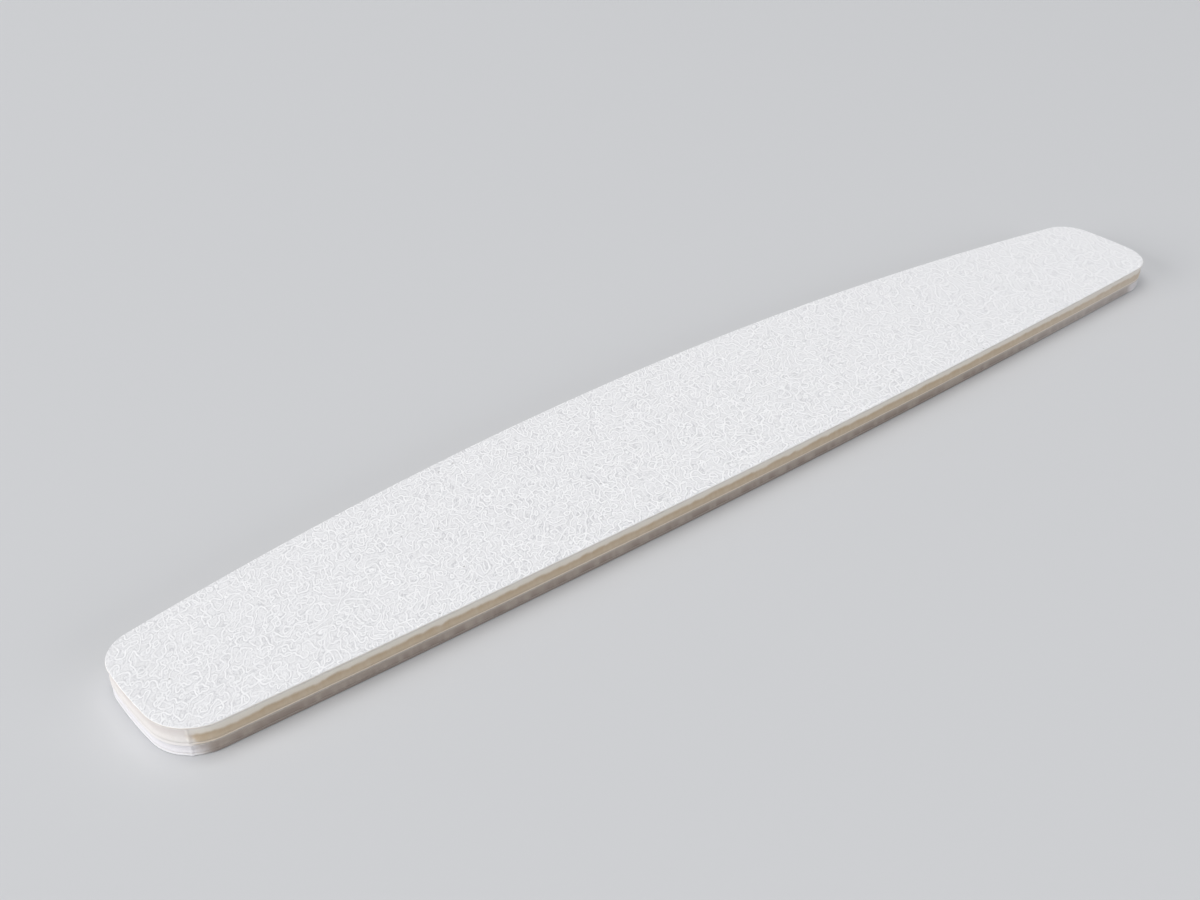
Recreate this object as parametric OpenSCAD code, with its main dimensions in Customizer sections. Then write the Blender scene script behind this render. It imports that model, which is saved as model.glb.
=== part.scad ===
// Half-moon emery board: two abrasive sheets on foam pads, bonded to a thin core board.
// It lies flat, its length along X, its straighter long edge towards -Y, its bottom face at z = 0.

/* [Outline] */
// Overall length
board_length = 178; // [150:1:200]
// Overall width, at the middle
board_width = 28; // [25:0.5:34]
// Width left at each end, between the two long edges
end_width = 17.7; // [15:0.1:21]
// How far the straighter long edge bows out along its length
straight_edge_rise = 1.6; // [0.8:0.1:3]
// Radius of the arc across each end
end_radius = 60; // [35:1:140]
// How far the tip of each end lies from the end's middle, towards the bowed edge
end_tip_shift = 1.5; // [0:0.1:3]
// Radius of the corners beside the straighter edge
straight_corner_radius = 6; // [4:0.5:7]
// Radius of the corners beside the bowed edge
bowed_corner_radius = 5; // [4:0.5:7]

/* [Layers] */
// Thickness of the abrasive coat, grains and resin together
grit_thickness = 0.12; // [0.06:0.01:0.3]
// Thickness of the paper that carries the abrasive
paper_thickness = 0.2; // [0.1:0.01:0.4]
// Thickness of each adhesive film
adhesive_thickness = 0.08; // [0.04:0.01:0.15]
// Thickness of the foam pad above the core board
upper_foam_thickness = 1.89; // [1:0.01:3]
// Thickness of the foam pad below the core board
lower_foam_thickness = 1.05; // [0.6:0.01:3]
// Thickness of the core board
core_thickness = 0.3; // [0.2:0.05:1.2]

/* [Cut edge] */
// How far the cut draws the outline in from the top face to the bottom face
cut_draft = 0.2; // [0:0.05:0.5]
// How far each adhesive film stops short of the cut
adhesive_setback = 0.2; // [0.05:0.05:0.6]
// How far the core board's edge stands back from the cut
core_setback = 0.05; // [0:0.05:0.4]
// How far the foam stands back from the cut where it is bonded
foam_setback = 0.1; // [0:0.05:0.4]
// How much further the foam's edge draws in at half its thickness
foam_waist = 0.2; // [0:0.05:0.5]

/* [Hidden] */

// How far a corner's circle reaches past the arcs beside it, so that they cross and don't only touch
corner_crossing = 0.01;

// Fineness of the arcs, and of the foam's edge
$fn = 1440;
straight_edge_steps = 10;
bowed_edge_steps = 28;
end_steps = 5;
corner_steps = 9;
foam_edge_steps = 8;

// Height of each layer's underside, each standing on the one below
bottom_paper_z = grit_thickness;
bottom_adhesive_z = bottom_paper_z + paper_thickness;
lower_foam_z = bottom_adhesive_z + adhesive_thickness;
lower_core_adhesive_z = lower_foam_z + lower_foam_thickness;
core_z = lower_core_adhesive_z + adhesive_thickness;
upper_core_adhesive_z = core_z + core_thickness;
upper_foam_z = upper_core_adhesive_z + adhesive_thickness;
top_adhesive_z = upper_foam_z + upper_foam_thickness;
top_paper_z = top_adhesive_z + adhesive_thickness;
top_grit_z = top_paper_z + paper_thickness;
board_thickness = top_grit_z + grit_thickness;

// Arcs of the two long edges, each through the middle of its edge and both ends
function arc_radius(half_chord, rise) = (half_chord ^ 2 + rise ^ 2) / (2 * rise);
bowed_edge_rise = board_width - straight_edge_rise - end_width;
straight_edge_radius = arc_radius(board_length / 2, straight_edge_rise);
bowed_edge_radius = arc_radius(board_length / 2, bowed_edge_rise);
straight_edge_centre = [0, straight_edge_radius - board_width / 2];
bowed_edge_centre = [0, board_width / 2 - bowed_edge_radius];

// Arc of the end on the +X side
end_tip_y = straight_edge_rise + end_width / 2 + end_tip_shift - board_width / 2;
end_centre = [board_length / 2 - end_radius, end_tip_y];

// Where circles about a and b cross, on the side of the line from a to b that side gives (1 left, -1 right)
function crossing(a, a_radius, b, b_radius, side) =
    let (
        gap = norm(b - a),
        along = (gap ^ 2 + a_radius ^ 2 - b_radius ^ 2) / (2 * gap),
        across = sqrt(a_radius ^ 2 - along ^ 2),
        u = (b - a) / gap
    )
    a + along * u + side * across * [-u.y, u.x];

// Centres of the two +X corners, whose circles touch a long edge and the end from inside
straight_corner_centre = crossing(
    straight_edge_centre, straight_edge_radius - straight_corner_radius,
    end_centre, end_radius - straight_corner_radius, 1);
bowed_corner_centre = crossing(
    bowed_edge_centre, bowed_edge_radius - bowed_corner_radius,
    end_centre, end_radius - bowed_corner_radius, -1);

// Direction in which a corner's circle touches the larger arc about centre
function touch_angle(centre, corner) = atan2(corner.y - centre.y, corner.x - centre.x);
straight_touch = touch_angle(straight_edge_centre, straight_corner_centre);
end_lower_touch = touch_angle(end_centre, straight_corner_centre);
end_upper_touch = touch_angle(end_centre, bowed_corner_centre);
bowed_touch = touch_angle(bowed_edge_centre, bowed_corner_centre);

// How far the cut stands inside the top outline at a height
function draft_at(z) = cut_draft * (1 - z / board_thickness);

// A circle with one of its points at the given angle
module disc(centre, radius, angle) {
    translate(centre) rotate(angle) circle(r = radius);
}

// Everything inside the arc of the +X end
module inside_end(inset) {
    disc(end_centre, end_radius - inset, 0);
    translate([-board_length, end_tip_y - end_radius + inset])
        square([board_length + end_centre.x, 2 * (end_radius - inset)]);
}

// What the cut takes off a +X corner: the wedge between its touch points, outside its circle
module corner_waste(centre, radius, from_angle, to_angle) {
    reach = board_width;
    middle_angle = (from_angle + to_angle) / 2;
    difference() {
        translate(centre)
            polygon([
                [0, 0],
                reach * [cos(from_angle), sin(from_angle)],
                2 * reach * [cos(middle_angle), sin(middle_angle)],
                reach * [cos(to_angle), sin(to_angle)]
            ]);
        disc(centre, radius + corner_crossing, 180);
    }
}

// The board's outline, drawn in by inset all round
module outline(inset) {
    difference() {
        intersection() {
            disc(straight_edge_centre, straight_edge_radius - inset, -90);
            disc(bowed_edge_centre, bowed_edge_radius - inset, 90);
            inside_end(inset);
            mirror([1, 0]) inside_end(inset);
        }
        for (side = [0, 1])
            mirror([side, 0]) {
                corner_waste(
                    straight_corner_centre, straight_corner_radius - inset, straight_touch, end_lower_touch);
                corner_waste(
                    bowed_corner_centre, bowed_corner_radius - inset, end_upper_touch, bowed_touch);
            }
    }
}

// One flat layer, its edge at the cut less its own setback
module sheet(z, thickness, setback) {
    translate([0, 0, z])
        linear_extrude(height = thickness)
            outline(draft_at(z + thickness) + setback);
}

// Points along an arc, its last point left to the next arc
function arc_points(centre, radius, from_angle, to_angle, steps) = [
    for (i = [0 : steps - 1])
        let (a = from_angle + (to_angle - from_angle) * i / steps)
        centre + radius * [cos(a), sin(a)]
];
function mirrored(points) = [for (p = points) [-p.x, p.y]];
function reversed(points) = [for (i = [len(points) - 1 : -1 : 0]) points[i]];

// The right half of the outline as points, from the straighter edge's middle to the bowed edge's middle
function half_outline(inset) = concat(
    arc_points(straight_edge_centre, straight_edge_radius - inset, -90, straight_touch, straight_edge_steps / 2),
    arc_points(straight_corner_centre, straight_corner_radius - inset, straight_touch, end_lower_touch, corner_steps),
    arc_points(end_centre, end_radius - inset, end_lower_touch, end_upper_touch, end_steps),
    arc_points(bowed_corner_centre, bowed_corner_radius - inset, end_upper_touch, bowed_touch, corner_steps),
    arc_points(bowed_edge_centre, bowed_edge_radius - inset, bowed_touch, 90, bowed_edge_steps / 2),
    [bowed_edge_centre + [0, bowed_edge_radius - inset]]
);

// The whole outline as points, without repeating the two points on the middle line
function ring_points(inset) =
    let (half = half_outline(inset), last = len(half) - 1)
    concat(half, reversed(mirrored([for (i = [1 : last - 1]) half[i]])));

// A foam pad, its edge drawn in most at half its thickness
module foam_pad(z, thickness) {
    rings = [
        for (k = [0 : foam_edge_steps])
            let (
                height = z + thickness * k / foam_edge_steps,
                waist = foam_waist * (1 - (2 * k / foam_edge_steps - 1) ^ 2)
            )
            [for (p = ring_points(draft_at(height) + foam_setback + waist)) [p.x, p.y, height]]
    ];
    n = len(rings[0]);
    bottom_face = [for (i = [0 : n - 1]) i];
    top_face = [for (i = [n - 1 : -1 : 0]) foam_edge_steps * n + i];
    side_faces = [
        for (k = [0 : foam_edge_steps - 1], i = [0 : n - 1])
            let (
                a = k * n + i,
                b = k * n + (i + 1) % n
            )
            each [[a, a + n, b + n], [a, b + n, b]]
    ];
    polyhedron(points = [for (ring = rings) each ring], faces = concat([bottom_face], side_faces, [top_face]));
}

module bottom_abrasive_coat() {
    color("whitesmoke") sheet(0, grit_thickness, 0);
}

module bottom_backing_paper() {
    color("white") sheet(bottom_paper_z, paper_thickness, 0);
}

module bottom_paper_adhesive() {
    color("lightgray") sheet(bottom_adhesive_z, adhesive_thickness, adhesive_setback);
}

module lower_foam_pad() {
    color("rosybrown") foam_pad(lower_foam_z, lower_foam_thickness);
}

module lower_core_adhesive() {
    color("lightgray") sheet(lower_core_adhesive_z, adhesive_thickness, adhesive_setback);
}

module core_board() {
    color("ivory") sheet(core_z, core_thickness, core_setback);
}

module upper_core_adhesive() {
    color("lightgray") sheet(upper_core_adhesive_z, adhesive_thickness, adhesive_setback);
}

module upper_foam_pad() {
    color("tan") foam_pad(upper_foam_z, upper_foam_thickness);
}

module top_paper_adhesive() {
    color("lightgray") sheet(top_adhesive_z, adhesive_thickness, adhesive_setback);
}

module top_backing_paper() {
    color("white") sheet(top_paper_z, paper_thickness, 0);
}

module top_abrasive_coat() {
    color("whitesmoke") sheet(top_grit_z, grit_thickness, 0);
}

bottom_abrasive_coat();
bottom_backing_paper();
bottom_paper_adhesive();
lower_foam_pad();
lower_core_adhesive();
core_board();
upper_core_adhesive();
upper_foam_pad();
top_paper_adhesive();
top_backing_paper();
top_abrasive_coat();
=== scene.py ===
"""Looks of a half-moon emery board, dressed over its packed construction. Units are metres."""

import math

import bpy
import numpy as np
from mathutils import Matrix, Vector, noise


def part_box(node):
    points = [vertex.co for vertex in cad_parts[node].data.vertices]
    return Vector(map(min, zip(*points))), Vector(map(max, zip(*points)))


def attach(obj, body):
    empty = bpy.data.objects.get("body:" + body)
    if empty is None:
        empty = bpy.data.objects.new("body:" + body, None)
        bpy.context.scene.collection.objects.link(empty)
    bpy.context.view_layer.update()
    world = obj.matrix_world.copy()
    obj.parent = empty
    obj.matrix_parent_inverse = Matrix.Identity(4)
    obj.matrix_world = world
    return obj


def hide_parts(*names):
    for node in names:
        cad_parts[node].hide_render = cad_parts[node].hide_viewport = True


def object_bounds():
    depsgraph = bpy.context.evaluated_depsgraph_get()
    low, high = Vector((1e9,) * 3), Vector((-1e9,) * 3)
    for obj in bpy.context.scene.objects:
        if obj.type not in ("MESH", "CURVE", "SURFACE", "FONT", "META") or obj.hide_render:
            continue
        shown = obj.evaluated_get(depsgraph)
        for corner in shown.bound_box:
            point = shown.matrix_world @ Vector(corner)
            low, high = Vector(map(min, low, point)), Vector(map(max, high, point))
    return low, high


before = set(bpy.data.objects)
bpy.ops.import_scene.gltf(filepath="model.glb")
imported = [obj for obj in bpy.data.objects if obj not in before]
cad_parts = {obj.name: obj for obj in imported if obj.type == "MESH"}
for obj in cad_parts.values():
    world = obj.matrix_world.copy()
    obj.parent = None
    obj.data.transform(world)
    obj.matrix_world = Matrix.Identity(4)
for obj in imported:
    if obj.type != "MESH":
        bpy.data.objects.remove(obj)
cad_low, cad_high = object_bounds()

MM = 0.001

# Outline, with the driving sizes of the construction
LENGTH = 0.178
WIDTH = 0.028
END_WIDTH = 0.0177
STRAIGHT_EDGE_RISE = 0.0016
END_RADIUS = 0.060
END_TIP_SHIFT = 0.0015
STRAIGHT_CORNER_RADIUS = 0.006
BOWED_CORNER_RADIUS = 0.005
CUT_DRAFT = 0.0002
BOARD_THICKNESS = cad_high.z - cad_low.z

# The photograph's camera: its size, its focal length in pixels and where the board's origin falls
IMAGE_WIDTH, IMAGE_HEIGHT = 1200, 900
FOCAL_PIXELS = 1444.15
ORIGIN_PIXEL = (719.07, 428.09)
CAMERA_AZIMUTH = -40.53
CAMERA_ELEVATION = 33.56
CAMERA_ROLL = -1.02
CAMERA_DISTANCE = 0.20293
SENSOR_WIDTH = 36.0

# Fineness of the outline: places along the straighter edge, an end, the bowed edge and the other end
EDGE_STEPS = (1100, 160, 1100, 160)
GRAIN_ALONG, GRAIN_ACROSS = 840, 100

# Where the cutting die's ends met, and the small ridge that each left
DIE_JOINTS = [(-0.0862, -0.0113), (0.0862, -0.0113)]
DIE_JOINT_REACH = 0.13 * MM
DIE_JOINT_WIDTH = 0.13 * MM

# The coat's relief, and its rim, rolled over and slightly wavy
GRAIN_DEPTH = 0.03 * MM
ROLLING_SHARE = 0.55
ROLLING_SCALE = 420
FINE_SCALE = 1700
FINE_OFFSET = (7, 3, 1)
RIM_RADIUS = 0.09 * MM
RIM_RINGS = 4
RIM_WAVE = 0.018 * MM
LONG_WAVE_SCALE = 900
SHORT_WAVE_SCALE = 3000

# How far each layer's edge stands back from the cut, in mm, by share of its height from its underside
UPPER_FOAM_PROFILE = [
    (0.0, 0.05),
    (0.12, 0.02),
    (0.25, 0.10),
    (0.4, 0.18),
    (0.6, 0.17),
    (0.85, 0.10),
    (1.0, 0.06),
]
LOWER_FOAM_PROFILE = [(0.0, 0.06), (0.12, 0.08), (0.35, 0.20), (0.7, 0.22), (0.9, 0.12), (1.0, 0.06)]
TOP_PAPER_PROFILE = [(0.0, 0.05), (0.3, 0.01), (1.0, 0.0)]
BOTTOM_PAPER_PROFILE = [(1 - share, inset) for share, inset in TOP_PAPER_PROFILE][::-1]
FILM_PROFILE = [(0.0, 0.06), (0.5, 0.065), (1.0, 0.06)]
PROFILE_STEPS = 40
ROUNDING_PASSES = 6

# Unevenness of the cut edges, as pairs of depth and features to the metre
FOAM_WOBBLE = [(0.035 * MM, 160), (0.02 * MM, 700), (0.012 * MM, 3000)]
PAPER_WOBBLE = [(0.02 * MM, 900), (0.01 * MM, 4000)]
FILM_WOBBLE = [(0.02 * MM, 500), (0.01 * MM, 2500)]


def srgb(red, green, blue):
    """A linear colour from 8-bit display values."""
    channels = []
    for value in (red, green, blue):
        v = value / 255
        channels.append(v / 12.92 if v <= 0.04045 else ((v + 0.055) / 1.055) ** 2.4)
    return (*channels, 1.0)


# Outline arcs


def arc_radius(half_chord, rise):
    return (half_chord**2 + rise**2) / (2 * rise)


def crossing(a, a_radius, b, b_radius, side):
    """Where circles about a and b cross, left (1) or right (-1) of the line from a to b."""
    gap = np.hypot(*(b - a))
    along = (gap**2 + a_radius**2 - b_radius**2) / (2 * gap)
    across = math.sqrt(a_radius**2 - along**2)
    u = (b - a) / gap
    return a + along * u + side * across * np.array([-u[1], u[0]])


def direction(centre, point):
    return math.atan2(point[1] - centre[1], point[0] - centre[0])


def flip(arc):
    """An arc's mirror image across the middle of the board's length."""
    centre, radius, start, stop = arc
    return (centre * np.array([-1, 1]), radius, math.pi - stop, math.pi - start)


def outline_sides():
    """The outline as four sides, each a list of arcs (centre, radius, from angle, to angle).

    The sides run anticlockwise and meet at the middle of each rounded corner.
    """
    bowed_rise = WIDTH - STRAIGHT_EDGE_RISE - END_WIDTH
    straight_r = arc_radius(LENGTH / 2, STRAIGHT_EDGE_RISE)
    bowed_r = arc_radius(LENGTH / 2, bowed_rise)
    straight_c = np.array([0, straight_r - WIDTH / 2])
    bowed_c = np.array([0, WIDTH / 2 - bowed_r])
    tip_y = STRAIGHT_EDGE_RISE + END_WIDTH / 2 + END_TIP_SHIFT - WIDTH / 2
    end_c = np.array([LENGTH / 2 - END_RADIUS, tip_y])
    near_r, far_r = STRAIGHT_CORNER_RADIUS, BOWED_CORNER_RADIUS
    near_c = crossing(straight_c, straight_r - near_r, end_c, END_RADIUS - near_r, 1)
    far_c = crossing(bowed_c, bowed_r - far_r, end_c, END_RADIUS - far_r, -1)
    near_start = direction(straight_c, near_c)
    near_stop = direction(end_c, near_c)
    far_start = direction(end_c, far_c)
    far_stop = direction(bowed_c, far_c)
    near_mid = (near_start + near_stop) / 2
    far_mid = (far_start + far_stop) / 2
    near_half = (near_c, near_r, near_start, near_mid)
    far_half = (far_c, far_r, far_mid, far_stop)
    end_side = [
        (near_c, near_r, near_mid, near_stop),
        (end_c, END_RADIUS, near_stop, far_start),
        (far_c, far_r, far_start, far_mid),
    ]
    straight_side = [
        flip(near_half),
        (straight_c, straight_r, -math.pi - near_start, near_start),
        near_half,
    ]
    bowed_side = [far_half, (bowed_c, bowed_r, far_stop, math.pi - far_stop), flip(far_half)]
    return [straight_side, end_side, bowed_side, [flip(arc) for arc in reversed(end_side)]]


class Stations:
    """Places along the outline, from which the outline drawn in by any inset follows."""

    def __init__(self, arcs, steps):
        lengths = [radius * (stop - start) for _, radius, start, stop in arcs]
        ends = np.cumsum([0, *lengths])
        distance = np.linspace(0, ends[-1], steps + 1)
        index = np.clip(np.searchsorted(ends, distance, side="right") - 1, 0, len(arcs) - 1)
        self.centre = np.array([arcs[i][0] for i in index])
        self.radius = np.array([arcs[i][1] for i in index])
        start = np.array([arcs[i][2] for i in index])
        angle = start + (distance - ends[index]) / self.radius
        self.normal = np.c_[np.cos(angle), np.sin(angle)]

    def points(self, inset):
        return self.centre + (self.radius - inset)[:, None] * self.normal


def closed_stations(steps_per_side):
    """The whole outline as one loop, its first place not repeated."""
    parts = [Stations(arcs, steps) for arcs, steps in zip(outline_sides(), steps_per_side)]
    loop = parts[0]
    loop.centre = np.concatenate([part.centre[:-1] for part in parts])
    loop.radius = np.concatenate([part.radius[:-1] for part in parts])
    loop.normal = np.concatenate([part.normal[:-1] for part in parts])
    return loop


def noise_at(points, scale, offset=(0, 0, 0)):
    """Smooth noise from -1 to 1 at points, scale features to the metre."""
    shift = Vector(offset)
    return np.array([noise.noise(Vector(point) * scale + shift) for point in points])


def draft_at(z):
    """How far the cut stands inside the top outline at a height."""
    return CUT_DRAFT * (1 - z / BOARD_THICKNESS)


# Meshes


def mesh_object(name, points, faces, node, material):
    """A piece that stands for a CAD node and rides on the board, smooth but for its many-sided caps."""
    mesh = bpy.data.meshes.new(name)
    points = np.clip(points, cad_low, cad_high)
    mesh.from_pydata(points.tolist(), [], faces)
    mesh.validate()
    mesh.polygons.foreach_set("use_smooth", [len(polygon.vertices) == 4 for polygon in mesh.polygons])
    mesh.materials.append(material)
    piece = bpy.data.objects.new(name, mesh)
    bpy.context.scene.collection.objects.link(piece)
    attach(piece, "root")
    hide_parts(node)
    return piece


def ring_faces(lower, upper):
    """Quads between two rings of points, given by their indices."""
    count = len(lower)
    faces = []
    for i in range(count):
        following = (i + 1) % count
        faces.append((lower[i], lower[following], upper[following], upper[i]))
    return faces


def die_joint(points):
    """How far the ridges left where the cutting die's ends meet stand out at points on the edge."""
    out = np.zeros(len(points))
    for x, y in DIE_JOINTS:
        off = (points[:, 0] - x) ** 2 + (points[:, 1] - y) ** 2
        out += DIE_JOINT_REACH * np.exp((off.min() - off) / DIE_JOINT_WIDTH**2)
    return out


def in_metres(profile):
    return [(share, inset * MM) for share, inset in profile]


def inset_at(profile, share):
    """The inset of a profile at a share of the height, on straight lines between its points."""
    shares, insets = zip(*profile)
    return float(np.interp(share, shares, insets))


def smooth_profile(profile):
    """The same profile with its corners rounded off."""
    shares = np.linspace(0, 1, PROFILE_STEPS + 1)
    insets = np.array([inset_at(profile, share) for share in shares])
    for _ in range(ROUNDING_PASSES):
        insets[1:-1] = (insets[:-2] + 2 * insets[1:-1] + insets[2:]) / 4
    return list(zip(shares, insets))


def edge_loft(name, node, material, profile, steps, wobble, joint):
    """A layer whose edge follows a profile of insets from its underside to its top.

    wobble gives (depth, features to the metre) pairs of unevenness, joint the height of the die's ridge.
    """
    low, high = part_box(node)
    loop = closed_stations(EDGE_STEPS)
    count = len(loop.radius)
    levels = []
    rings = []
    for k in range(steps + 1):
        share = k / steps
        z = low.z + (high.z - low.z) * share
        base = np.c_[loop.points(0), np.full(count, z)]
        inset = np.full(count, draft_at(z) + inset_at(profile, share))
        for depth, scale in wobble:
            inset += depth * noise_at(base, scale)
        inset = np.maximum(inset, draft_at(z)) - joint * die_joint(base)
        levels.append(np.c_[loop.points(inset), base[:, 2]])
        rings.append(range(k * count, (k + 1) * count))
    faces = [tuple(reversed(rings[0]))]
    for lower, upper in zip(rings, rings[1:]):
        faces += ring_faces(lower, upper)
    faces.append(tuple(rings[-1]))
    return mesh_object(name, np.concatenate(levels), faces, node, material)


def grain_depth(points):
    """How deep the abrasive's surface lies below its highest ridges."""
    rolling = 0.5 - 0.5 * noise_at(points, ROLLING_SCALE)
    fine = 0.5 - 0.5 * noise_at(points, FINE_SCALE, FINE_OFFSET)
    depth = GRAIN_DEPTH * (ROLLING_SHARE * rolling + (1 - ROLLING_SHARE) * fine)
    return np.clip(depth, 0, GRAIN_DEPTH)


def coons(sides):
    """A grid of points that fills four boundary sides, each running anticlockwise."""
    bottom, right, top, left = sides
    top, left = top[::-1], left[::-1]
    u = np.linspace(0, 1, len(bottom))[:, None, None]
    v = np.linspace(0, 1, len(right))[None, :, None]
    corners = (
        (1 - u) * (1 - v) * bottom[0]
        + u * (1 - v) * bottom[-1]
        + (1 - u) * v * top[0]
        + u * v * top[-1]
    )
    return (
        (1 - v) * bottom[:, None, :]
        + v * top[:, None, :]
        + (1 - u) * left[None, :, :]
        + u * right[None, :, :]
        - corners
    )


def grid_faces(along, across):
    """The quads of a grid whose points run across it first."""
    faces = []
    for i in range(along - 1):
        for j in range(across - 1):
            first = i * across + j
            faces.append((first, first + across, first + across + 1, first + 1))
    return faces


def grid_edge(along, across):
    """The indices of the points around such a grid, anticlockwise from its first corner."""
    edge = [i * across for i in range(along - 1)]
    edge += [(along - 1) * across + j for j in range(across - 1)]
    edge += [i * across + across - 1 for i in range(along - 1, 0, -1)]
    edge += list(range(across - 1, 0, -1))
    return edge


def abrasive_coat(name, node, material, up):
    """A coat with a grainy face, up for the top one, a rolled rim and a flat back."""
    low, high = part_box(node)
    face_z, back_z = (high.z, low.z) if up else (low.z, high.z)
    out = 1 if up else -1
    draft = draft_at(high.z)
    counts = (GRAIN_ALONG, GRAIN_ACROSS, GRAIN_ALONG, GRAIN_ACROSS)
    sides = [Stations(arcs, steps) for arcs, steps in zip(outline_sides(), counts)]
    grid = coons([side.points(draft + RIM_RADIUS) for side in sides])
    along, across = grid.shape[:2]
    face = np.c_[grid.reshape(-1, 2), np.full(along * across, face_z)]
    face[:, 2] -= out * grain_depth(face)
    edge = grid_edge(along, across)
    loop = closed_stations(counts)
    count = len(edge)
    levels = [face]
    rings = [edge]
    total = len(face)
    rim_z = face[edge, 2]
    for k in range(1, RIM_RINGS + 1):
        turn = math.pi / 2 * k / RIM_RINGS
        z = rim_z + (face_z - out * RIM_RADIUS - rim_z) * (1 - math.cos(turn))
        base = np.c_[loop.points(0), z]
        wave = RIM_WAVE * (1 + noise_at(base, LONG_WAVE_SCALE))
        wave += RIM_WAVE / 2 * (1 + noise_at(base, SHORT_WAVE_SCALE))
        if not up:
            wave -= die_joint(base)
        ring = loop.points(draft + RIM_RADIUS * (1 - math.sin(turn)) + wave * math.sin(turn))
        levels.append(np.c_[ring, z])
        rings.append(range(total, total + count))
        total += count
    levels.append(np.c_[levels[-1][:, :2], np.full(count, back_z)])
    rings.append(range(total, total + count))
    faces = grid_faces(along, across)
    for upper, lower in zip(rings, rings[1:]):
        faces += ring_faces(lower, upper)
    faces.append(tuple(reversed(rings[-1])))
    if not up:
        faces = [tuple(reversed(polygon)) for polygon in faces]
    return mesh_object(name, np.concatenate(levels), faces, node, material)


# Materials

# Ridges of the abrasive: their fields as (features to the metre, offset), and the sizes of ridge and shade
RIDGE_FIELDS = ((920, (0.2, 0.1, 0.05)), (1190, (0.31, 0.17, 0.4)))
RIDGE_RINGS = 3.0
RIDGE_DISTORTION = 0.35
LINE_STEP = 0.05 * MM
RIDGE_CORE = 0.02 * MM
RIDGE_REACH = 0.13 * MM
SHADE_OFFSET = 0.165 * MM
SHADE_REACH = 0.08 * MM

# Where the ridges thin out, by a field of gaps finer than their own
GAP_SCALE = 1.3
GAP_PLACE = (0.9, 0.1)
GAP_FROM, GAP_TO = 0.33, 0.56
FAINTEST = 0.4

# How the ridges lie aslant, longer one way than the other, and grow coarser from a place on towards +X
GRAIN_TURN = math.radians(49.5)
GRAIN_STRETCH = 1.45
COARSE_FROM = -0.03
COARSENING = 4.5

# How strongly they show: less towards the -X end, and much less towards the +X end
NEAR_WEAR = (-0.085, -0.03, 0.78, 1.0)
FAR_WEAR = (-0.03, 0.09, 1.0, 0.34)
FAR_PALENESS = (0.0, 0.08, 0.0, 0.6)

# Grains between the ridges: grey specks and bright dots of painted glint, dots in cells of which a share is
# left out
GRIT_SCALE = 4200
SPECK_SCALE, SPECK_LEFT_OUT = 430, 0.7
SPECK_CORE, SPECK_REACH, SPECK_DEPTH = 0.03, 0.075, 0.65
GLINT_SCALE, GLINT_LEFT_OUT = 560, 0.78
GLINT_CORE, GLINT_REACH, GLINT_STRENGTH = 0.05, 0.13, 0.9

# Between these heights the cut edge's colours pass from those of the lower half to those of the upper
LOWER_TONES_END = 0.5 * MM
UPPER_TONES_START = 3.5 * MM

# Where the cut edge turns paler, as painted light: towards both ends, and by a share of it at the +X corner;
# the darker tones along the sides are painted shade
UPPER_LIT_ENDS = (0.0855, 0.0831, 0.5)
LOWER_LIT_ENDS = (0.0838, 0.0804, 0.8)
PALE_TO = 0.0867
CORNER_FADE = 0.0028
PALE_WOBBLE = 1.6 * MM
PALE_WOBBLE_SCALE = 900
# The sides also painted slightly lighter towards the +X end, as painted light
SLIGHTLY_LIT_SIDE = (0.03, 0.085, 0.0, 0.25)

# The pores of both foams, which show as small dark dots of painted shade
PORE_SCALE = 9000
PORE_ROUGHNESS = 0.65
PORES = (0.55, 0.8, 0.0, 0.25)


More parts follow.
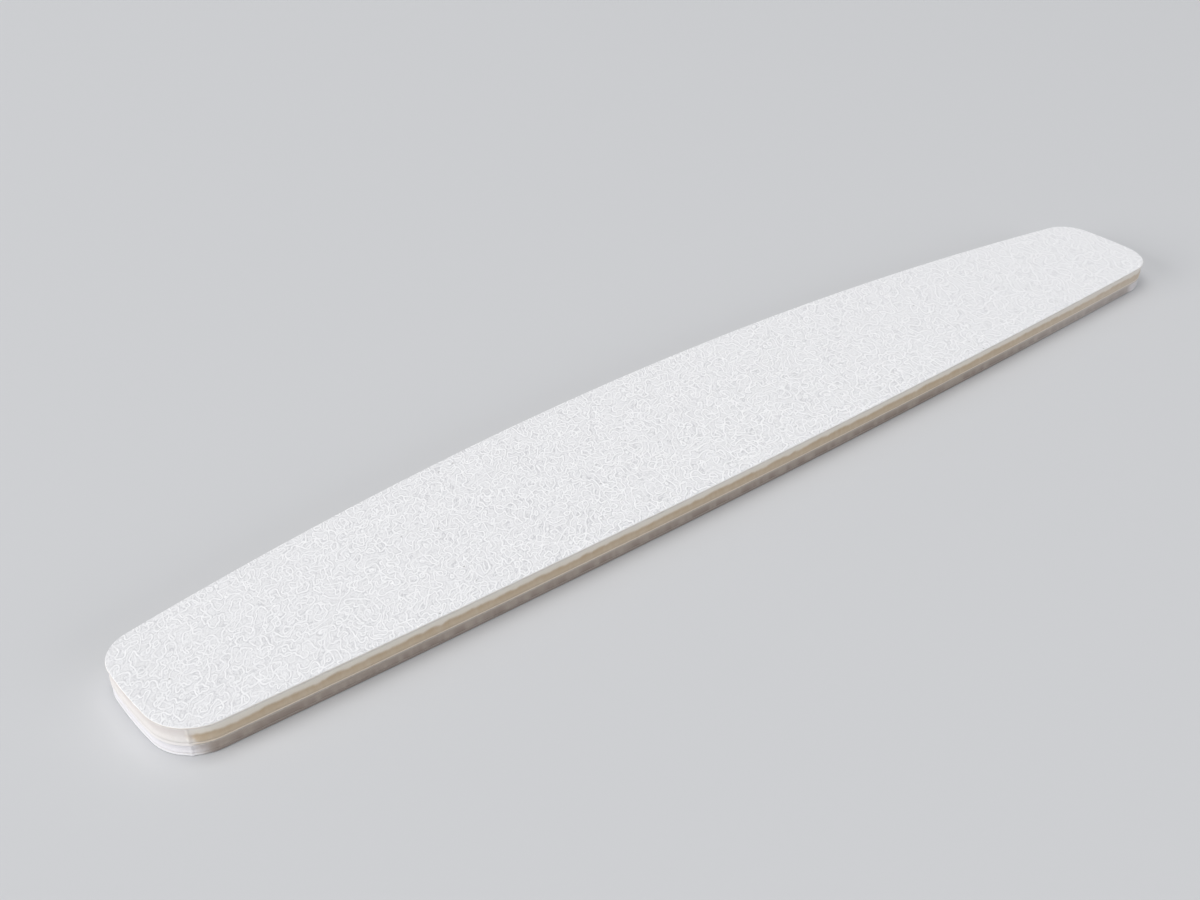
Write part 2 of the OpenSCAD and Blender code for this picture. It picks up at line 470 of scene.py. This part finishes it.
class Nodes:
    """A material's nodes, on the board's own coordinates in metres."""

    def __init__(self, name, roughness, specular):
        self.material = bpy.data.materials.new(name)
        self.material.use_nodes = True
        self.tree = self.material.node_tree
        self.shader = self.tree.nodes["Principled BSDF"]
        self.shader.inputs["Roughness"].default_value = roughness
        self.shader.inputs["Specular IOR Level"].default_value = specular
        self.place = self.tree.nodes.new("ShaderNodeTexCoord").outputs["Object"]

    def set(self, node, **inputs):
        """Sets inputs by name, or by number as i0, i1 and so on, to values or other nodes' outputs."""
        for key, value in inputs.items():
            numbered = key[0] == "i" and key[1:].isdigit()
            socket = node.inputs[int(key[1:]) if numbered else key]
            if isinstance(value, bpy.types.NodeSocket):
                self.tree.links.new(value, socket)
            else:
                socket.default_value = value
        return node

    def noise(self, scale, detail=2.0, distortion=0.0, place=None, roughness=0.5):
        node = self.tree.nodes.new("ShaderNodeTexNoise")
        self.set(node, Vector=place or self.place, Scale=scale, Detail=detail)
        self.set(node, Roughness=roughness, Distortion=distortion)
        return node.outputs["Fac"]

    def math(self, operation, a, b=0.0):
        node = self.tree.nodes.new("ShaderNodeMath")
        node.operation = operation
        self.set(node, i0=a, i1=b)
        return node.outputs[0]

    def times(self, a, b):
        return self.math("MULTIPLY", a, b)

    def minus(self, a, b):
        return self.math("SUBTRACT", a, b)

    def span(self, value, low, high, to_low=0.0, to_high=1.0, smooth=True):
        """Passes from to_low, at low and below, to to_high, at high and above."""
        node = self.tree.nodes.new("ShaderNodeMapRange")
        node.interpolation_type = "SMOOTHSTEP" if smooth else "LINEAR"
        self.set(node, i0=value, i1=low, i2=high, i3=to_low, i4=to_high)
        return node.outputs[0]

    def fade(self, value, low, high):
        return self.span(value, low, high, 1.0, 0.0)

    def mix(self, share, a, b):
        node = self.tree.nodes.new("ShaderNodeMix")
        node.data_type = "RGBA"
        self.set(node, i0=share, i6=a, i7=b)
        return node.outputs[2]

    def moved(self, offset=(0, 0, 0), stretch=(1, 1, 1), place=None):
        node = self.tree.nodes.new("ShaderNodeMapping")
        self.set(node, Vector=place or self.place, Location=offset, Scale=stretch)
        return node.outputs[0]

    def separate(self, vector):
        node = self.tree.nodes.new("ShaderNodeSeparateXYZ")
        self.set(node, Vector=vector)
        return node.outputs

    def axes(self):
        return self.separate(self.place)

    def normal(self):
        """The direction that the surface faces, without its bumps."""
        return self.separate(self.tree.nodes.new("ShaderNodeNewGeometry").outputs["Normal"])

    def dots(self, scale, left_out, core, reach, place=None):
        """Round dots at the middle of cells, but for the share of the cells that is left out."""
        cells = self.tree.nodes.new("ShaderNodeTexVoronoi")
        self.set(cells, Vector=place or self.place, Scale=scale)
        chance = self.tree.nodes.new("ShaderNodeSeparateColor")
        self.set(chance, Color=cells.outputs["Color"])
        chosen = self.math("GREATER_THAN", chance.outputs[0], left_out)
        return self.times(self.fade(cells.outputs["Distance"], core, reach), chosen)

    def grain_space(self):
        """Coordinates on which a texture lies aslant the board and grows coarser towards +X."""
        x, y, z = self.axes()
        beyond = self.math("MAXIMUM", self.minus(x, COARSE_FROM), 0.0)
        growth = self.times(beyond, COARSENING)
        along = self.minus(x, self.times(self.times(beyond, growth), 0.5))
        across = self.times(y, self.minus(1.0, growth))
        spread = self.tree.nodes.new("ShaderNodeCombineXYZ")
        self.set(spread, X=along, Y=across, Z=z)
        turned = self.tree.nodes.new("ShaderNodeVectorRotate")
        turned.rotation_type = "Z_AXIS"
        self.set(turned, Vector=spread.outputs[0], Angle=-GRAIN_TURN)
        return self.moved(stretch=(1 / GRAIN_STRETCH, 1, 1), place=turned.outputs[0])

    def curls(self, place, scale, offset, shown):
        """Curling ridges of even width along a field's level lines, and the shade beside them."""
        samples = []
        for step in ((0, 0, 0), (LINE_STEP, 0, 0), (0, LINE_STEP, 0)):
            beside = self.moved([a + b for a, b in zip(offset, step)], place=place)
            samples.append(self.noise(scale, detail=0.0, distortion=RIDGE_DISTORTION, place=beside))
        field = samples[0]
        slopes = [self.minus(sample, field) for sample in samples[1:]]
        squares = [self.times(slope, slope) for slope in slopes]
        slope = self.math("SQRT", self.math("ADD", *squares))
        turns = self.math("FRACT", self.times(field, RIDGE_RINGS))
        off_line = self.math("ABSOLUTE", self.minus(turns, 0.5))
        away = self.math("DIVIDE", self.times(off_line, LINE_STEP / RIDGE_RINGS), slope)
        gaps = self.noise(
            scale * GAP_SCALE,
            detail=1.0,
            place=self.moved((offset[1], *GAP_PLACE), place=place),
        )
        shown = self.times(self.span(gaps, GAP_FROM, GAP_TO, FAINTEST), shown)
        ridge = self.times(self.fade(away, RIDGE_CORE, RIDGE_REACH), shown)
        from_shade = self.math("ABSOLUTE", self.minus(away, SHADE_OFFSET))
        shade = self.times(self.fade(from_shade, 0.0, SHADE_REACH), shown)
        return ridge, shade

    def bump(self, height, distance, strength=1.0):
        node = self.tree.nodes.new("ShaderNodeBump")
        self.set(node, Height=height, Distance=distance, Strength=strength)
        self.set(self.shader, Normal=node.outputs["Normal"])

    def finish(self, colour):
        self.set(self.shader, **{"Base Color": colour})
        return self.material


def lit_end_share(n, x, pale):
    """0 along the board's sides, where the darker cut edge is painted shade, and 1 at its ends, where the
    paler cut edge is painted light.
    """
    start, corner_start, corner = pale
    uneven = n.times(n.minus(n.noise(PALE_WOBBLE_SCALE), 0.5), PALE_WOBBLE)
    at_corner = n.span(x, corner_start, corner_start + CORNER_FADE, 0.0, corner)
    side = n.math("MAXIMUM", n.span(x, *SLIGHTLY_LIT_SIDE), at_corner)
    reach = n.math("ADD", n.math("ABSOLUTE", x), uneven)
    return n.math("MAXIMUM", n.span(reach, start, PALE_TO), side)


def ridges(n):
    """The light and the shade of the abrasive's ridges, of two sizes that take turns over the board."""
    place = n.grain_space()
    region = n.noise(200, detail=1.0, distortion=0.5, place=n.moved((0.7, 0.3, 0.2)))
    coarser_shown = n.span(region, 0.44, 0.56, 1.0, 0.4)
    finer_shown = n.span(region, 0.42, 0.54, 0.4, 1.0)
    (coarse, coarse_offset), (fine, fine_offset) = RIDGE_FIELDS
    light, shade = n.curls(place, coarse, coarse_offset, coarser_shown)
    light_over, shade_over = n.curls(place, fine, fine_offset, finer_shown)
    shade = n.times(shade, n.minus(1.0, light_over))
    light = n.math("MAXIMUM", light, light_over)
    shade = n.times(n.math("MAXIMUM", shade, shade_over), n.minus(1.0, light))
    return light, shade


def abrasive_material():
    """White grit in resin: curling ridges edged with shade, fine grain, grey specks, painted glints, a
    painted highlight on the rolled rim, and a lower cut edge painted in shade along the sides and in light
    at the ends.
    """
    n = Nodes("abrasive", roughness=0.85, specular=0.2)
    x, _, z = n.axes()
    worn = n.math("MINIMUM", n.span(x, *NEAR_WEAR), n.span(x, *FAR_WEAR))
    light, shade = ridges(n)
    grit = n.noise(GRIT_SCALE, place=n.moved((0.05, 0.6, 0.3)), roughness=0.7)
    body = n.mix(n.span(grit, 0.3, 0.7), srgb(226, 226, 227), srgb(238, 238, 240))
    body = n.mix(n.span(x, *FAR_PALENESS), body, srgb(232, 232, 234))
    body = n.mix(n.times(shade, worn), body, srgb(202, 202, 205))
    body = n.mix(n.times(light, worn), body, srgb(249, 249, 250))
    specks = n.dots(SPECK_SCALE, SPECK_LEFT_OUT, SPECK_CORE, SPECK_REACH)
    body = n.mix(n.times(specks, SPECK_DEPTH), body, srgb(150, 148, 146))
    elsewhere = n.moved((0.4, 0.8, 0.2))
    glints = n.dots(GLINT_SCALE, GLINT_LEFT_OUT, GLINT_CORE, GLINT_REACH, elsewhere)
    body = n.mix(n.times(glints, GLINT_STRENGTH), body, srgb(255, 255, 255))
    facing = n.math("ABSOLUTE", n.normal()[2])
    # The rolled rim, where the face turns over, painted lighter as a highlight
    body = n.mix(n.fade(facing, 0.70, 0.97), body, srgb(245, 245, 246))
    # The coats' cut edge: low down, painted shade along the sides and painted light at the ends; high up,
    # plain cream
    lower_cut_shade_and_light = n.mix(lit_end_share(n, x, LOWER_LIT_ENDS), srgb(158, 149, 142), srgb(250, 250, 252))
    cut = n.mix(n.span(z, LOWER_TONES_END, UPPER_TONES_START), lower_cut_shade_and_light, srgb(240, 238, 234))
    body = n.mix(n.fade(facing, 0.15, 0.55), body, cut)
    relief = n.minus(n.times(light, 0.55), n.times(shade, 0.2))
    n.bump(n.math("ADD", relief, n.times(grit, 0.3)), 0.04 * MM)
    return n.finish(body)


def upper_foam_material():
    """Foam that is cream under the sheet and tan below an uneven line, these side tones darkened as painted
    shade, and paler at the ends as painted light.
    """
    low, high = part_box("upper_foam_pad")
    n = Nodes("upper_foam", roughness=0.8, specular=0.25)
    x, _, z = n.axes()
    level = n.span(z, low.z, high.z, smooth=False)
    wander = n.noise(520, detail=3.0, distortion=0.3, place=n.moved(stretch=(1, 1, 0.2)))
    edge = n.math("ADD", level, n.times(n.minus(wander, 0.5), 0.50))
    cream = n.mix(level, srgb(224, 212, 196), srgb(240, 236, 227))
    colour = n.mix(n.span(edge, 0.40, 0.68), srgb(194, 174, 148), cream)
    colour = n.mix(n.span(level, 0.0, 0.5, 0.35, 0.0), colour, srgb(214, 202, 184))
    # Paler at the ends, as painted light
    pale = n.mix(n.span(edge, 0.1, 0.9), srgb(236, 232, 229), srgb(233, 226, 223))
    colour = n.mix(lit_end_share(n, x, UPPER_LIT_ENDS), colour, pale)
    pores = n.noise(PORE_SCALE, detail=3.0, roughness=PORE_ROUGHNESS)
    mottle = n.noise(1300, detail=3.0, place=n.moved(stretch=(1, 1, 0.4)))
    colour = n.mix(n.span(mottle, 0.35, 0.8, 0.0, 0.16), colour, srgb(236, 230, 220))
    colour = n.mix(n.span(pores, *PORES), colour, srgb(140, 126, 110))
    n.bump(n.math("ADD", n.times(pores, 0.4), n.times(mottle, 0.6)), 0.05 * MM, 0.7)
    return n.finish(colour)


def lower_foam_material():
    """Greyish foam with soft upright patches; its cut edge along the sides is painted shade, darker towards
    the underside, and paler at the ends as painted light.
    """
    low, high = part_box("lower_foam_pad")
    n = Nodes("lower_foam", roughness=0.8, specular=0.25)
    x, _, z = n.axes()
    level = n.span(z, low.z, high.z, smooth=False)
    # Painted shade, darker towards the underside
    colour = n.mix(level, srgb(142, 130, 122), srgb(187, 174, 164))
    patches = n.noise(620, place=n.moved((0.2, 0.1, 0), (1, 1, 0.12)))
    colour = n.mix(n.span(patches, 0.38, 0.68, 0.0, 0.45), colour, srgb(196, 186, 177))
    colour = n.mix(lit_end_share(n, x, LOWER_LIT_ENDS), colour, srgb(237, 235, 238))
    pores = n.noise(PORE_SCALE, detail=3.0, roughness=PORE_ROUGHNESS)
    colour = n.mix(n.span(pores, *PORES), colour, srgb(126, 118, 112))
    n.bump(pores, 0.04 * MM, 0.6)
    return n.finish(colour)


def paper_material():
    """White backing paper, its cut edge faintly fibrous; the lower sheet's edge painted darker along the
    sides as shade, and lighter at the ends as painted light.
    """
    n = Nodes("backing_paper", roughness=0.7, specular=0.3)
    x, _, z = n.axes()
    fibres = n.noise(3500, detail=3.0, place=n.moved(stretch=(0.3, 0.3, 2.5)))
    colour = n.mix(n.span(fibres, 0.35, 0.7), srgb(224, 216, 209), srgb(236, 231, 226))
    # The lower sheet's edge: painted shade along the sides, painted light at the ends
    low_edge_shade_and_light = n.mix(lit_end_share(n, x, LOWER_LIT_ENDS), srgb(150, 140, 133), srgb(246, 245, 247))
    colour = n.mix(n.fade(z, LOWER_TONES_END, UPPER_TONES_START), colour, low_edge_shade_and_light)
    n.bump(fibres, 0.02 * MM, 0.5)
    return n.finish(colour)


def adhesive_material():
    """The cut edge of a clear film, which takes the tone of the layers that it joins, their painted shade
    along the sides included, and paler at the ends as painted light.
    """
    n = Nodes("adhesive", roughness=0.45, specular=0.5)
    x, _, z = n.axes()
    dust = n.noise(2400, detail=3.0)
    # Darker low down and along the sides, as painted shade, and paler at the ends as painted light
    colour = n.mix(n.span(z, 2.0 * MM, 3.6 * MM), srgb(208, 195, 178), srgb(228, 226, 219))
    colour = n.mix(n.fade(z, 1.5 * MM, 1.8 * MM), colour, srgb(178, 167, 159))
    colour = n.mix(lit_end_share(n, x, LOWER_LIT_ENDS), colour, srgb(240, 236, 234))
    colour = n.mix(n.span(dust, 0.45, 0.8, 0.0, 0.2), colour, srgb(176, 164, 152))
    n.bump(dust, 0.01 * MM, 0.5)
    return n.finish(colour)


def core_material():
    """Thin pressed board, its upper arris painted pale as a highlight and its edge below it greyish, paler
    at the ends as painted light.
    """
    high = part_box("core_board")[1]
    n = Nodes("core", roughness=0.5, specular=0.5)
    x, _, z = n.axes()
    streaks = n.noise(2600, detail=3.0, place=n.moved(stretch=(1, 1, 0.2)))
    colour = n.mix(n.span(streaks, 0.3, 0.7), srgb(176, 167, 160), srgb(190, 182, 174))
    # A painted highlight along the upper arris
    arris_highlight = n.span(z, high.z - 0.16 * MM, high.z - 0.08 * MM)
    colour = n.mix(arris_highlight, colour, srgb(232, 218, 200))
    colour = n.mix(lit_end_share(n, x, UPPER_LIT_ENDS), colour, srgb(246, 242, 240))
    n.bump(streaks, 0.02 * MM, 0.5)
    return n.finish(colour)


def dress_board():
    """Every layer but the core gets a finer form, and the core a better material."""
    abrasive = abrasive_material()
    paper = paper_material()
    abrasive_coat("top_abrasive_grain", "top_abrasive_coat", abrasive, up=True)
    abrasive_coat("bottom_abrasive_grain", "bottom_abrasive_coat", abrasive, up=False)
    for side, profile in (("top", TOP_PAPER_PROFILE), ("bottom", BOTTOM_PAPER_PROFILE)):
        edge_loft(f"{side}_backing_sheet", f"{side}_backing_paper", paper,
                  in_metres(profile), steps=4, wobble=PAPER_WOBBLE, joint=0.4)
    upper = edge_loft("upper_foam", "upper_foam_pad", upper_foam_material(),
                      smooth_profile(in_metres(UPPER_FOAM_PROFILE)), steps=18, wobble=FOAM_WOBBLE, joint=1.0)
    lower = edge_loft("lower_foam", "lower_foam_pad", lower_foam_material(),
                      smooth_profile(in_metres(LOWER_FOAM_PROFILE)), steps=12, wobble=FOAM_WOBBLE, joint=1.0)
    film = adhesive_material()
    for place in ("bottom_paper", "lower_core", "upper_core", "top_paper"):
        edge_loft(f"{place}_film", f"{place}_adhesive", film,
                  in_metres(FILM_PROFILE), steps=2, wobble=FILM_WOBBLE, joint=0.5)
    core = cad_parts["core_board"].data
    core.materials.clear()
    core.materials.append(core_material())


# The scene around the board

BACKDROP = srgb(204, 206, 209)
FADE_FROM, FADE_TO = 0.35, 1.6
FLOOR_REACH = 40.0
FLOOR_GAP = 0.02 * MM
WORLD_STRENGTH = 0.33


def backdrop_share(tree):
    """1 for the rays that may see the backdrop: from the camera, and off or through shiny surfaces."""
    ray = tree.nodes.new("ShaderNodeLightPath").outputs
    seen = ray["Is Camera Ray"]
    for kind in ("Is Glossy Ray", "Is Transmission Ray"):
        either = tree.nodes.new("ShaderNodeMath")
        either.operation = "MAXIMUM"
        tree.links.new(seen, either.inputs[0])
        tree.links.new(ray[kind], either.inputs[1])
        seen = either.outputs[0]
    return seen


def add_floor():
    """A pale floor that takes the board's shadow and fades into the backdrop far behind it."""
    n = Nodes("floor", roughness=0.9, specular=0.1)
    material = n.finish(n.mix(n.noise(1.5), srgb(203, 204, 206), srgb(207, 208, 210)))
    distance = n.tree.nodes.new("ShaderNodeVectorMath")
    distance.operation = "LENGTH"
    n.set(distance, i0=n.place)
    far = n.span(distance.outputs["Value"], FADE_FROM, FADE_TO)
    glow = n.set(n.tree.nodes.new("ShaderNodeEmission"), Color=BACKDROP)
    blend = n.tree.nodes.new("ShaderNodeMixShader")
    n.set(blend, i0=n.times(far, backdrop_share(n.tree)))
    n.set(blend, i1=n.shader.outputs[0], i2=glow.outputs[0])
    n.set(n.tree.nodes["Material Output"], Surface=blend.outputs[0])
    mesh = bpy.data.meshes.new("floor")
    r = FLOOR_REACH
    mesh.from_pydata([(-r, -r, 0), (r, -r, 0), (r, r, 0), (-r, r, 0)], [], [(0, 1, 2, 3)])
    mesh.materials.append(material)
    floor = bpy.data.objects.new("floor", mesh)
    floor.location.z = cad_low.z - FLOOR_GAP
    bpy.context.scene.collection.objects.link(floor)


def add_softbox(name, place, width, height, power):
    """A rectangular lamp that faces the board's origin."""
    light = bpy.data.lights.new(name, "AREA")
    light.shape = "RECTANGLE"
    light.size, light.size_y = width, height
    light.energy = power
    lamp = bpy.data.objects.new(name, light)
    lamp.location = place
    lamp.rotation_mode = "QUATERNION"
    lamp.rotation_quaternion = (-Vector(place)).to_track_quat("-Z", "Y")
    bpy.context.scene.collection.objects.link(lamp)


def add_world():
    """Even light from all round, behind which the camera and shiny surfaces see a pale backdrop."""
    world = bpy.data.worlds.new("studio")
    world.use_nodes = True
    tree = world.node_tree
    light = tree.nodes["Background"]
    light.inputs["Color"].default_value = srgb(240, 241, 244)
    light.inputs["Strength"].default_value = WORLD_STRENGTH
    backdrop = tree.nodes.new("ShaderNodeBackground")
    backdrop.inputs["Color"].default_value = BACKDROP
    blend = tree.nodes.new("ShaderNodeMixShader")
    tree.links.new(backdrop_share(tree), blend.inputs[0])
    tree.links.new(light.outputs[0], blend.inputs[1])
    tree.links.new(backdrop.outputs[0], blend.inputs[2])
    tree.links.new(blend.outputs[0], tree.nodes["World Output"].inputs["Surface"])
    bpy.context.scene.world = world


def add_camera():
    """The photograph's camera: turned about the board's origin, which falls on its own pixel."""
    azimuth = math.radians(CAMERA_AZIMUTH)
    elevation = math.radians(CAMERA_ELEVATION)
    roll = math.radians(CAMERA_ROLL)
    back = Vector((
        math.sin(azimuth) * math.cos(elevation),
        -math.cos(azimuth) * math.cos(elevation),
        math.sin(elevation),
    ))
    level = Vector((math.cos(azimuth), math.sin(azimuth), 0))
    upright = back.cross(level)
    right = level * math.cos(roll) - upright * math.sin(roll)
    up = level * math.sin(roll) + upright * math.cos(roll)
    across = (ORIGIN_PIXEL[0] - IMAGE_WIDTH / 2) / FOCAL_PIXELS * CAMERA_DISTANCE
    down = (ORIGIN_PIXEL[1] - IMAGE_HEIGHT / 2) / FOCAL_PIXELS * CAMERA_DISTANCE
    data = bpy.data.cameras.new("camera")
    data.sensor_fit = "HORIZONTAL"
    data.sensor_width = SENSOR_WIDTH
    data.lens = FOCAL_PIXELS * SENSOR_WIDTH / IMAGE_WIDTH
    data.clip_start = 0.01
    data.clip_end = 20
    camera = bpy.data.objects.new("camera", data)
    turn = Matrix((right, up, back)).transposed().to_4x4()
    place = back * CAMERA_DISTANCE - right * across + up * down
    camera.matrix_world = Matrix.Translation(place) @ turn
    bpy.context.scene.collection.objects.link(camera)
    bpy.context.scene.camera = camera


dress_board()
add_floor()
add_softbox("overhead", (-0.5, 0.25, 3.0), width=2.8, height=2.8, power=61)
add_softbox("left", (-3.0, 0.4, 1.0), width=1.9, height=1.2, power=50)
add_softbox("front", (0.8, -3.4, 1.1), width=3.0, height=1.3, power=26)
add_world()
add_camera()
bpy.context.scene.view_settings.view_transform = "Standard"
